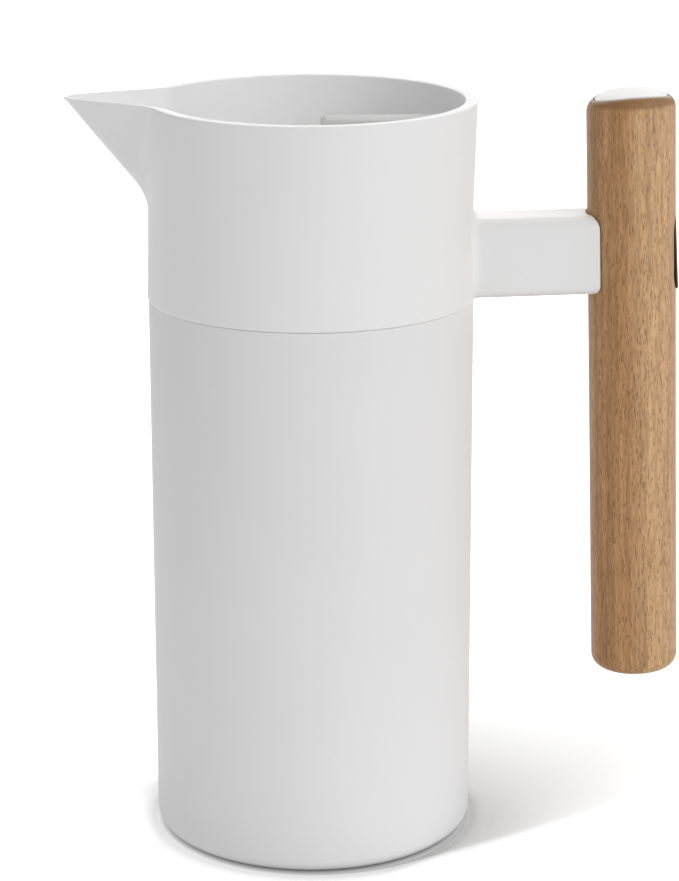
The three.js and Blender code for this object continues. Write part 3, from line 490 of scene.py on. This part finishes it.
# Radius, height and rounding of each corner
shell_corners = [
    (BASE_LIP, FOOT, 0.2), (BODY_R, FOOT, BASE_ROUND), (BODY_R, SHOULDER_EDGE, 0.3),
    (neck_outer, SEAM, 1.4), (neck_outer, NECK_TOP, 0), (NECK_INNER, NECK_TOP, 0),
    (NECK_INNER, under_shoulder, 0.8), (inner_r, under_shoulder, 0.6),
    (inner_r, inner_foot, BASE_ROUND - SHELL_WALL), (BASE_LIP, inner_foot, 0.2),
]
shell_outline = rounded(shell_corners, steps=8)
shell = stands_for(turned("outer_shell_skin", shell_outline), "outer_shell")


# Collar with its spout

RIM_ROUND = 0.55
# Radius and height above the collar's bottom of its softened lower edge
COLLAR_EDGE = ((51.75, 0.0), (52.05, 0.08), (52.22, 0.3), (52.28, 0.65))
# From, to and number of the rings: below the waist, where the keel curves into the wall, and above
COLLAR_SPANS = ((180.2, LEDGE, 7), (WAIST_Z, 221, 17), (223, RIM - RIM_ROUND, 10))
COLLAR_SIDES = 480
SPOUT_CROWDING = 0.64
RIM_STEPS = 5
LIP_INSET = 0.5
ROD_BORE = 2.9


def collar_radius(z):
    return WAIST_R + FLARE * (math.hypot(z - WAIST_Z, WAIST_SOFT) - WAIST_SOFT)


def keel(z):
    """How far the spout's nose stands from the axis."""
    return SPOUT_TIP - (RIM - z) * KEEL_SLOPE


keel_bottom = RIM - (SPOUT_TIP - WAIST_R) / KEEL_SLOPE
even = np.linspace(-1, 1, COLLAR_SIDES, endpoint=False)
around = math.pi * ((1 - SPOUT_CROWDING) * even + SPOUT_CROWDING * even ** 3)
rise = SPOUT_RISE * np.exp(-(around / SPOUT_RISE_SPAN) ** 2)


def section(radius, z, tip=0.0, inset=0.0):
    """A ring round the axis at height z, with a round-nosed beak where tip is more than the radius."""
    centre, nose = tip - SPOUT_NOSE, SPOUT_NOSE - inset
    turn = np.minimum(np.abs(around), math.pi / 2 - SPOUT_HALF)
    flank = (centre * math.sin(SPOUT_HALF) + nose) / np.sin(SPOUT_HALF + turn)
    bend = math.atan2(nose * math.cos(SPOUT_HALF), centre + nose * math.sin(SPOUT_HALF))
    inside = np.maximum(nose ** 2 - (centre * np.sin(around)) ** 2, 0)
    beak = np.where(np.abs(around) < bend, centre * np.cos(around) + np.sqrt(inside), flank)
    near = np.maximum(SPOUT_BLEND - np.abs(beak - radius), 0)
    reach = np.maximum(beak, radius) + near ** 2 / (4 * SPOUT_BLEND)
    up = z + rise * max((z - keel_bottom) / (RIM - keel_bottom), 0) ** 2
    return [(-r * math.cos(a), -r * math.sin(a), h) for r, a, h in zip(reach, around, up)]


def well_radius(z):
    return WELL_R + WELL_DRAFT * (z - LEDGE) / (RIM - LEDGE)


def collar_rings():
    """From the skirt up the outside, over the rim and down the well to the floor's underside."""
    rings = [section(SKIRT_BORE, COLLAR_BOTTOM)]
    for radius, lift in COLLAR_EDGE:
        rings.append(section(radius, COLLAR_BOTTOM + lift))
    heights = np.concatenate([np.linspace(*span) for span in COLLAR_SPANS])
    for z in heights:
        rings.append(section(collar_radius(z), z, keel(z)))
    for angle in quarter(RIM_STEPS)[1:]:
        inset = RIM_ROUND * (1 - math.cos(angle))
        z = RIM - RIM_ROUND * (1 - math.sin(angle))
        rings.append(section(collar_radius(RIM) - inset, z, SPOUT_TIP, inset))
    for angle in quarter(RIM_STEPS):
        inset = RIM_ROUND * (1 - math.sin(angle))
        z = RIM - RIM_ROUND * (1 - math.cos(angle))
        rings.append(section(well_radius(RIM) + inset, z, SPOUT_TIP, SPOUT_WALL - min(inset, LIP_INSET)))
    for z in reversed(heights[heights > LEDGE + 1]):
        rings.append(section(well_radius(z), z, keel(z), SPOUT_WALL))
    steps = ((WELL_R, LEDGE), (LOWER_WELL_R, LEDGE), (LOWER_WELL_R, FLOOR_TOP), (FLOOR_HOLE, FLOOR_TOP),
             (FLOOR_HOLE, FLOOR_BOTTOM), (SKIRT_BORE, FLOOR_BOTTOM))
    return rings + [section(radius, z) for radius, z in steps]


collar = skin("collar_skin", collar_rings(), loop=True)
cut(collar, [rod_cutter(ROD_BORE, start=40.0, end=58.0, matrix=leaning)])
stands_for(collar, "collar")


# Arm, a skin that flows out of the collar and ends in a saddle round the handle

ARM_LOWER_ROUND = 3.0
ARM_UPPER_ROUND = 4.2
ARM_SPACING = 1.5
ARM_SHARP = 50
ARM_STATIONS = (60.0, 68.0, 76.0)
ROOT_RISE = 1.6
ROOT_GROW = 0.4
ROOT_SINK = 0.6
ROOT_SOFT = 0.5
FILLET_SPAN = 6.0
FILLET_STEPS = 8
SADDLE_GAP = 0.3
# How far the outline grows at the arm's end, and how far each ring stands back from the handle
ARM_END = ((0.0, 1.2), (0.0, 0.55), (-0.1, 0.22), (-0.3, 0.05), (-0.55, 0.0), (-2.2, 0.0), (-2.4, 4.0))


def arm_outline():
    """A rounded rectangle in Y and Z, with its long sides cut into short pieces."""
    w, h = ARM_W / 2, ARM_H / 2
    lower = [(-w, -h, ARM_LOWER_ROUND), (w, -h, ARM_LOWER_ROUND)]
    upper = [(w, h, ARM_UPPER_ROUND), (-w, h, ARM_UPPER_ROUND)]
    points = rounded(lower + upper, steps=10)
    dense = []
    for i, (y, z) in enumerate(points):
        next_y, next_z = points[(i + 1) % len(points)]
        parts = max(1, round(math.dist((y, z), (next_y, next_z)) / ARM_SPACING))
        for part in range(parts):
            share = part / parts
            dense.append((y + share * (next_y - y), z + share * (next_z - z)))
    return dense


outline = np.array(arm_outline())
along = np.roll(outline, -1, axis=0) - np.roll(outline, 1, axis=0)
along /= np.linalg.norm(along, axis=1)[:, None]
outward = np.stack([along[:, 1], -along[:, 0]], axis=1)


def arm_ring(grow, place):
    """The outline grown outwards, with each point's X from place(y, z)."""
    ring = []
    for (y, z), (ny, nz), extra in zip(outline, outward, np.broadcast_to(grow, len(outline))):
        py, pz = y + ny * extra, z + nz * extra
        ring.append((place(py, pz), py, pz))
    return ring


def collar_face(y, z):
    radius = collar_radius(ARM_Z + z + ROOT_RISE)
    return math.sqrt(max(radius ** 2 - y * y, 1.0)) + math.sin(LEAN) * z


def saddle(y):
    return GRIP_X - math.sqrt((GRIP_R + SADDLE_GAP) ** 2 - y * y)


share = np.clip((outline[:, 1] + ARM_H / 2) / FILLET_SPAN, 0, 1)
fillet = ROOT_SOFT + (ARM_FILLET - ROOT_SOFT) * share * share * (3 - 2 * share)
arm_rings = [arm_ring(fillet + ROOT_GROW, lambda y, z: collar_face(y, z) - ROOT_SINK)]
for angle in reversed(quarter(FILLET_STEPS)):
    lift = 1 - math.sin(angle)
    ring = arm_ring(fillet * (1 - math.cos(angle)), collar_face)
    arm_rings.append([(x + f * lift, y, z) for (x, y, z), f in zip(ring, fillet)])
for station in ARM_STATIONS:
    arm_rings.append(arm_ring(0.0, lambda y, z: station))
for grow, back in ARM_END:
    arm_rings.append(arm_ring(grow, lambda y, z: saddle(y) - back))
arm = skin("arm_skin", arm_rings, closed=False, matrix=leaning, sharp=ARM_SHARP)
stands_for(arm, "collar")


# Handle

GRIP_END_R = 4.0
GRIP_END_ROUND = 4.5
GRIP_STATIONS = (-90.0, -40.0, -16.0, 12.0, 30.0)
TOP_ROUND_R = 2.2
TOP_ROUND_Z = 2.9
TOP_REACH = 3.0
SOCKET_R = 11.83
SOCKET_GAP = 0.3
POCKET_GAP = 0.4
POCKET_OUT = 20.0
GRIP_BORE = 2.1
CAP_STUB_R = 5.0
CAP_STUB = 8.95
CAP_CORNER_R = 11.45
CAP_FACE_R = 11.3
CAP_RADII = np.linspace(10.6, 0.6, 10)
CAP_LIFT = 0.2
CAP_DOME = 0.3
cap_seat = GRIP_TOP - CAP_SEAT


def grip_profile():
    points = [(GRIP_END_R, GRIP_BOTTOM)]
    centre_r, centre_z = GRIP_R - GRIP_END_ROUND, GRIP_BOTTOM + GRIP_END_ROUND
    for angle in quarter(10):
        out, down = math.sin(angle), math.cos(angle)
        points.append((centre_r + GRIP_END_ROUND * out, centre_z - GRIP_END_ROUND * down))
    points += [(GRIP_R, z) for z in GRIP_STATIONS]
    centre_r, centre_z = GRIP_R - TOP_ROUND_R, GRIP_TOP - TOP_ROUND_Z
    for angle in quarter(8):
        out, over = math.cos(angle), math.sin(angle)
        points.append((centre_r + TOP_ROUND_R * out, centre_z + TOP_ROUND_Z * over))
    socket = cap_seat - SOCKET_GAP
    points += [(SOCKET_R + 0.03, GRIP_TOP - 0.12), (SOCKET_R, GRIP_TOP - 0.35)]
    return points + [(SOCKET_R, socket), (3.0, socket)]


def end_rise(x):
    return GRIP_SLANT * x + GRIP_CROWN * (1 - (x / CAP_R) ** 2)


def top_slant(x, z):
    return end_rise(x) if z > GRIP_TOP - TOP_REACH else 0.0


def stadium(length, width, steps=20):
    """An outline with straight long sides and half round ends."""
    end = (length - width) / 2
    points = []
    for centre, start in ((end, 0.0), (-end, math.pi)):
        for step in range(steps + 1):
            angle = start + step / steps * math.pi
            points.append((width / 2 * math.cos(angle), centre + width / 2 * math.sin(angle)))
    return points


def button_outline(x, inset):
    """The button's outline drawn in by inset, in the plane at x."""
    outline = stadium(BUTTON_L - 2 * inset, BUTTON_W - 2 * inset)
    return [(x, y, z + ROD_Z) for y, z in outline]


grip = turned("grip_skin", grip_profile(), sides=160, loop=False, matrix=grip_frame, slant=top_slant)
pocket_rings = [button_outline(x, -POCKET_GAP) for x in (POCKET_FLOOR, POCKET_OUT)]
pocket = skin("cutter", pocket_rings, matrix=grip_frame)
cut(grip, [pocket, rod_cutter(GRIP_BORE, start=-16.0, end=6.0, matrix=grip_frame)])
stands_for(grip, "wood_grip")

cap_profile = [(CAP_STUB_R, cap_seat - CAP_STUB), (CAP_STUB_R, cap_seat), (CAP_R, cap_seat)]
cap_profile += [(CAP_R, GRIP_TOP - 0.05), (CAP_CORNER_R, GRIP_TOP + 0.1)]
cap_profile.append((CAP_FACE_R, GRIP_TOP + 0.19))
for radius in CAP_RADII:
    dome = CAP_DOME * (1 - (radius / CAP_FACE_R) ** 2)
    cap_profile.append((radius, GRIP_TOP + CAP_LIFT + dome))
cap = turned("cap_skin", cap_profile, sides=128, loop=False, matrix=grip_frame,
             slant=lambda x, z: end_rise(x))
stands_for(cap, "grip_cap", "cap_plastic")


# Thumb button

BUTTON_BACK_INSET = 3.0
BUTTON_SIDE = 0.9
BUTTON_ROUND = 0.7
BUTTON_INSETS = (1.4, 2.2, 3.0, 3.8, 4.6, 5.2)


def button_ring(inset, depth):
    """A ring that follows the button's curved and sloping face."""
    ring = []
    for _, y, z in button_outline(0.0, inset):
        face = math.sqrt(BUTTON_FACE_R ** 2 - y * y) - BUTTON_SLOPE * (z - ROD_Z)
        ring.append((face - depth, y, z))
    return ring


button_rings = [button_outline(BUTTON_INNER, inset) for inset in (BUTTON_BACK_INSET, 0.0)]
button_rings.append(button_ring(0.0, BUTTON_SIDE))
for angle in quarter(5):
    inset, depth = 1 - math.cos(angle), 1 - math.sin(angle)
    button_rings.append(button_ring(BUTTON_ROUND * inset, BUTTON_ROUND * depth))
for inset in BUTTON_INSETS:
    button_rings.append(button_ring(inset, 0.0))
stands_for(skin("button_skin", button_rings, matrix=grip_frame), "thumb_button")


# Springs, as coils that move with their bodies

COIL_STEPS = 28
COIL_SIDES = 10
COIL_TURNS = 3
COIL_GAP = 0.55
VALVE_X = -2.5


def coil(name, radius, wire, start, end, matrix):
    steps = COIL_STEPS * COIL_TURNS
    rings = []
    for i in range(steps + 1):
        t = i / steps
        angle = 2 * math.pi * COIL_TURNS * t
        out = Vector((math.cos(angle), math.sin(angle), 0))
        centre = out * radius + Vector((0, 0, start + (end - start) * t))
        ring = []
        for k in range(COIL_SIDES):
            a = 2 * math.pi * k / COIL_SIDES
            point = centre + (out * math.cos(a) + Vector((0, 0, 1)) * math.sin(a)) * wire / 2
            ring.append(tuple(point))
        rings.append(ring)
    return skin(name, rings, matrix=matrix)


x_from_z = Matrix(((0, 0, 1, 0), (1, 0, 0, 0), (0, 1, 0, 0), (0, 0, 0, 1)))
rod_frame = grip_frame @ Matrix.Translation((0, 0, ROD_Z * MM)) @ x_from_z
valve_frame = Matrix.Translation((VALVE_X * MM, 0, 0))
button_coil = coil("button_coil", radius=2.85, wire=0.5, start=POCKET_FLOOR + COIL_GAP,
                   end=BUTTON_INNER - COIL_GAP, matrix=rod_frame)
valve_coil = coil("valve_coil", radius=4.0, wire=0.6, start=213.7, end=220.4, matrix=valve_frame)
stands_for(button_coil, "button_spring")
stands_for(valve_coil, "valve_spring")
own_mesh(button_coil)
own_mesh(valve_coil)


# Pieces that keep the form of their solids

# Width of the softened edge, its segments, and the nodes that get it
SOFT_EDGES = (
    (0.5, 3, ("bridge_housing",)),
    (0.3, 2, ("rocker", "valve_cage", "stopper_dish", "valve_poppet", "stem_head", "stopper_plug",
              "plug_base", "neck_ring", "foot_pad", "inner_flask")),
    (0.12, 1, ("base_plate", "vacuum_plug", "neck_gasket", "push_rod", "rod_tip", "rod_bush",
               "grip_screw_upper", "grip_screw_lower", "dish_seal", "plug_insulation", "plug_seal",
               "valve_washer", "rocker_pin", "bridge_screw_left", "bridge_screw_right")),
)
for width, segments, nodes in SOFT_EDGES:
    for node in nodes:
        refined(node, width, segments)


# Floor, light and camera

ROOM = 0.2385
FLOOR_HALF = 6
FLOOR_BOUNCE = 0.58
PAPER_DARK = 0.90
PAPER_LIGHT = 0.92

# Light of the floor's own for seen rays: near the carafe and far off, then painted light to its left and
# at its back
FLOOR_NEAR = 0.05
FLOOR_FAR = 1.0
PAINTED_LIGHT_LEFT = 0.3
PAINTED_LIGHT_BACK = 0.08
# Painted shadow close round the base and at the shadow's near corner, and painted light under the base's
# rounding
PAINTED_CONTACT_SHADE = 0.36
CONTACT_POWER = 3.0
PAINTED_CORNER_SHADE = 0.1
PAINTED_EDGE_LIGHT = 0.33
# Where these begin and end, in metres from the axis, or along X or Y
FAR_RANGE = (0.22, 0.55)
LEFT_X = (-0.048, -0.064)
BACK_X = (0.11, 0.075)
BACK_Y = (0.012, 0.06)
CONTACT_RANGE = (0.062, BODY_R * MM)
CORNER_X = (0.035, 0.052)
CORNER_Y = (0.018, -0.006)
CORNER_OUT = (0.08, 0.06)
CORNER_IN = (0.0535, 0.06)
EDGE_IN = (0.0472, 0.0505)
EDGE_OUT = (0.0535, 0.0505)


def seen_rays(s):
    """One where a ray comes from the camera or from a mirroring or clear surface."""
    path = s.node("ShaderNodeLightPath").outputs
    mirrored = s.math("MAXIMUM", path["Is Camera Ray"], path["Is Glossy Ray"])
    return s.math("MAXIMUM", mirrored, path["Is Transmission Ray"])


def grey(level):
    return colour(level, level, level)


def white_sheet():
    """A white floor with the carafe's shadow, which fades into plain white further off.

    Painted shadow: a soft dark band close round the base, and a darker patch at the shadow's near corner.
    Painted light: a little glow under the base's rounding, a lift of the shadow's far part at the
    carafe's back, and white to the left of the carafe over the lamp's shadow there.
    """
    s = material("floor")
    seen = seen_rays(s)
    away = s.node("ShaderNodeVectorMath", {0: s.coords}, operation="LENGTH").outputs["Value"]
    along = s.along()
    # Painted light to the left of the carafe, over the lamp's shadow there
    painted_left_light = s.spread(along["X"], *LEFT_X, 0.0, PAINTED_LIGHT_LEFT)
    # Painted light at the carafe's back, which makes the shadow's far part lighter
    painted_back_light = s.times(s.spread(along["Y"], *BACK_Y, 0.0, PAINTED_LIGHT_BACK), s.spread(along["X"], *BACK_X))
    glow = s.math("MAXIMUM", s.spread(away, *FAR_RANGE, FLOOR_NEAR, FLOOR_FAR), painted_left_light)
    glow = s.math("ADD", glow, painted_back_light)
    # Painted shadow: a soft dark band close round the base
    near = s.math("POWER", s.spread(away, *CONTACT_RANGE), CONTACT_POWER)
    # Painted shadow: darker at the near corner of the shadow, right of the base
    corner = s.times(s.spread(along["X"], *CORNER_X), s.spread(along["Y"], *CORNER_Y),
                     s.spread(away, *CORNER_OUT, 0.0, PAINTED_CORNER_SHADE), s.spread(away, *CORNER_IN))
    painted_shade_factor = s.math("SUBTRACT", 1.0, s.times(near, PAINTED_CONTACT_SHADE))
    painted_shade_factor = s.math("SUBTRACT", painted_shade_factor, corner)
    # Painted light: a ring of glow under the base's rounding
    edge = s.times(s.spread(away, *EDGE_IN, 0.0, PAINTED_EDGE_LIGHT), s.spread(away, *EDGE_OUT))
    paper = s.mix(s.noise(s.coords, scale=3.0), grey(PAPER_DARK), grey(PAPER_LIGHT))
    paper = s.mix(1.0, paper, painted_shade_factor, "MULTIPLY")
    return s.surface({
        "Base Color": s.mix(seen, grey(FLOOR_BOUNCE), paper),
        "Roughness": 0.9,
        "Specular IOR Level": 0.1,
        "Emission Color": WHITE,
        "Emission Strength": s.times(s.math("ADD", s.times(glow, painted_shade_factor), edge), seen),
    })


floor_mesh = bpy.data.meshes.new("floor")
floor_corners = [(x * FLOOR_HALF, y * FLOOR_HALF, 0) for x, y in ((-1, -1), (1, -1), (1, 1), (-1, 1))]
floor_mesh.from_pydata(floor_corners, [], [(0, 1, 2, 3)])
floor = placed("floor", floor_mesh)
floor.data.materials.append(white_sheet())


def group_of(name, members):
    made = bpy.data.collections.new(name)
    for member in members:
        made.objects.link(member)
    return made


pieces = [thing for thing in bpy.context.scene.objects if thing.type == "MESH" and thing is not floor]
lit_pieces = group_of("lit_by_softboxes", pieces)
lit_sheet = group_of("lit_by_strip", [floor])
standing = group_of("shades_the_strip", [shell, collar, frame["nodes"]["foot_pad"]])

LAMP_AIM = Vector((0, 0, 0.12))
# Name, place, size and power
SOFTBOXES = (
    ("right_front", (1.2, -1.1, 1.0), (1.0, 1.0), 14.3),
    ("left_front", (-1.2, -1.1, 1.0), (1.0, 1.0), 5.1),
    ("front", (0, -1.9, 0.5), (1.0, 0.8), 1.4),
    ("right", (1.6, -0.1, 0.6), (1.0, 1.2), 3.5),
    ("left", (-1.6, -0.1, 0.6), (1.0, 1.2), 1.3),
    ("back", (0.2, 1.7, 0.7), (1.2, 0.6), 8.5),
    ("back_top", (0, 0.9, 1.45), (1.0, 0.8), 8.8),
)
STRIP = ("strip", (-0.1438, -0.1115, 1.5), (0.93, 0.047), 26.9)
STRIP_TURN = math.radians(37.8)


def area_lamp(name, place, size, power, lights):
    light = bpy.data.lights.new(name, "AREA")
    light.shape = "RECTANGLE"
    light.size, light.size_y = size
    light.energy = power
    made = placed(name, light)
    made.location = place
    made.light_linking.receiver_collection = lights
    return made


for name, place, size, power in SOFTBOXES:
    softbox = area_lamp(name, place, size, power, lit_pieces)
    softbox.rotation_euler = (LAMP_AIM - Vector(place)).to_track_quat("-Z", "Y").to_euler()
strip = area_lamp(*STRIP, lit_sheet)
strip.rotation_euler = (0, 0, STRIP_TURN)
strip.light_linking.blocker_collection = standing


def studio_world():
    """An even room light on the pieces, and white where it is seen."""
    s = Shader(bpy.data.worlds.new("studio"))
    room = s.node("ShaderNodeBackground", {"Color": WHITE, "Strength": ROOM}).outputs["Background"]
    shown = s.node("ShaderNodeBackground", {"Color": WHITE, "Strength": 1.0}).outputs["Background"]
    choice = s.node("ShaderNodeMixShader", {"Fac": seen_rays(s), 1: room, 2: shown})
    s.node("ShaderNodeOutputWorld", {"Surface": choice.outputs["Shader"]})
    return s.owner


bpy.context.scene.world = studio_world()

SENSOR = 36
FOCAL_PIXELS = 2892.0
IMAGE_HEIGHT = 881
CAMERA_PLACE = (0, -0.9014, 0.388)
PITCH = math.radians(15.99)
YAW = math.radians(0.57)
ROLL = math.radians(-0.093)

camera_data = bpy.data.cameras.new("camera")
camera_data.sensor_width = SENSOR
camera_data.lens = FOCAL_PIXELS / IMAGE_HEIGHT * SENSOR
camera_data.clip_end = 20
camera = placed("camera", camera_data)
level = Vector((math.sin(YAW), math.cos(YAW), 0))
ahead = level * math.cos(PITCH) - Vector((0, 0, math.sin(PITCH)))
right = Vector((math.cos(YAW), -math.sin(YAW), 0))
up = right.cross(ahead)
tilted_right = math.cos(ROLL) * right + math.sin(ROLL) * up
tilted_up = -math.sin(ROLL) * right + math.cos(ROLL) * up
camera_turn = Matrix((tilted_right, tilted_up, -ahead)).transposed().to_4x4()
camera.matrix_world = Matrix.Translation(CAMERA_PLACE) @ camera_turn
bpy.context.scene.camera = camera
bpy.context.scene.view_settings.view_transform = "Standard"
